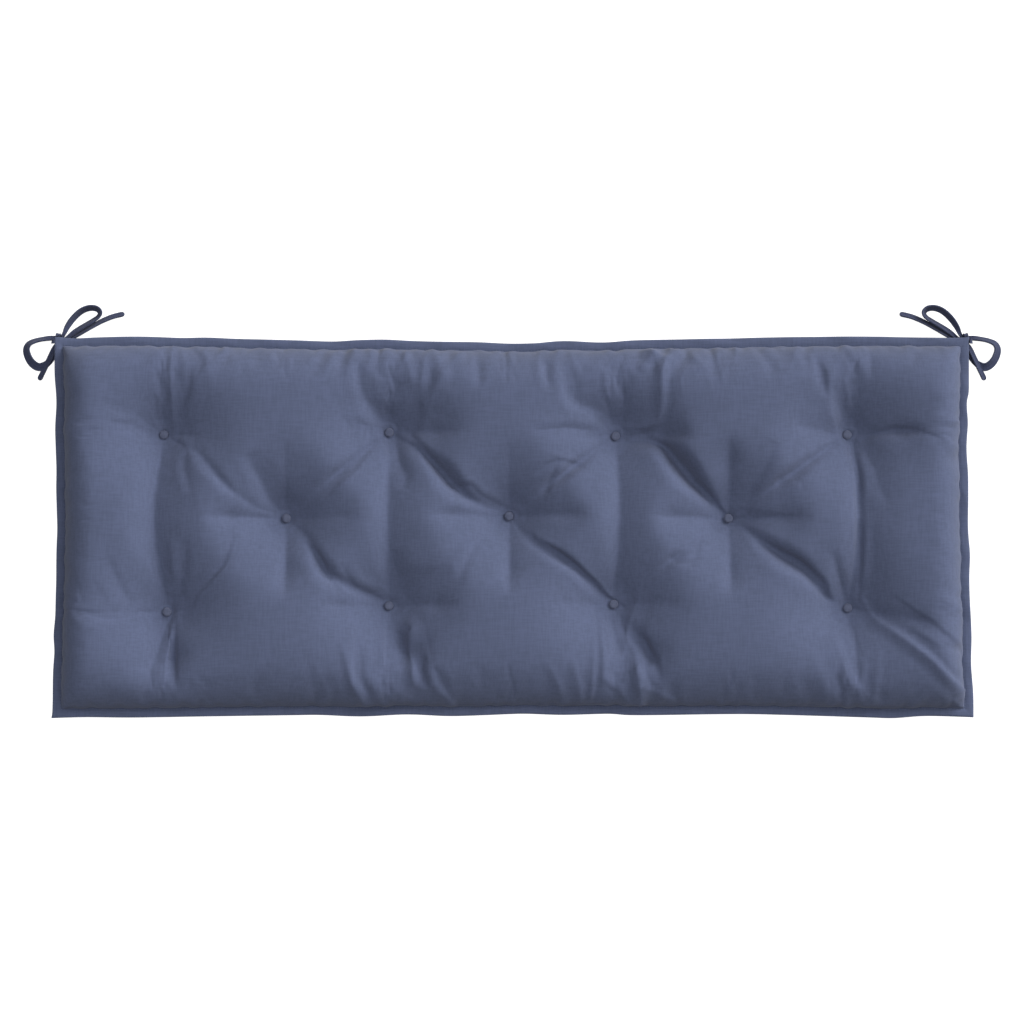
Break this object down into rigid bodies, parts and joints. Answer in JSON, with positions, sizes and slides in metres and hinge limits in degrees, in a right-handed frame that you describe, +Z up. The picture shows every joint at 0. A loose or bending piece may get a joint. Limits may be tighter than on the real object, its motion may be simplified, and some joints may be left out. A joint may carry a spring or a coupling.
{
  "type": "bench cushion",
  "caption": "Long rectangular tufted bench cushion with covered buttons, a stitched flange all round and tie bows at the two back corners.",
  "frame": {"origin": "under the middle of the cushion's body, on the surface that its back lies on", "axes": "+X along the bench, to the right as seen from the front, +Y to the back edge with the ties, +Z up out of the tufted face"},
  "size_m": [1.2906, 0.5436, 0.07],
  "materials": {
    "cover_cloth": "plain woven polyester cloth, navy grey-blue, matt, over a soft fibre filling",
    "button_cloth": "the same woven cloth stretched over a domed button, matt",
    "tie_tape": "the same woven cloth folded and stitched into a flat tape, matt and darker"
  },
  "bodies": {
    "root": {"cushion": "cover_cloth", "button_01": "button_cloth", "button_02": "button_cloth", "button_03": "button_cloth", "button_04": "button_cloth", "button_05": "button_cloth", "button_06": "button_cloth", "button_07": "button_cloth", "button_08": "button_cloth", "button_09": "button_cloth", "button_10": "button_cloth", "button_11": "button_cloth", "tie_left_back_loop": "tie_tape", "tie_left_side_loop": "tie_tape", "tie_right_back_loop": "tie_tape", "tie_right_side_loop": "tie_tape"}
  },
  "joints": []
}
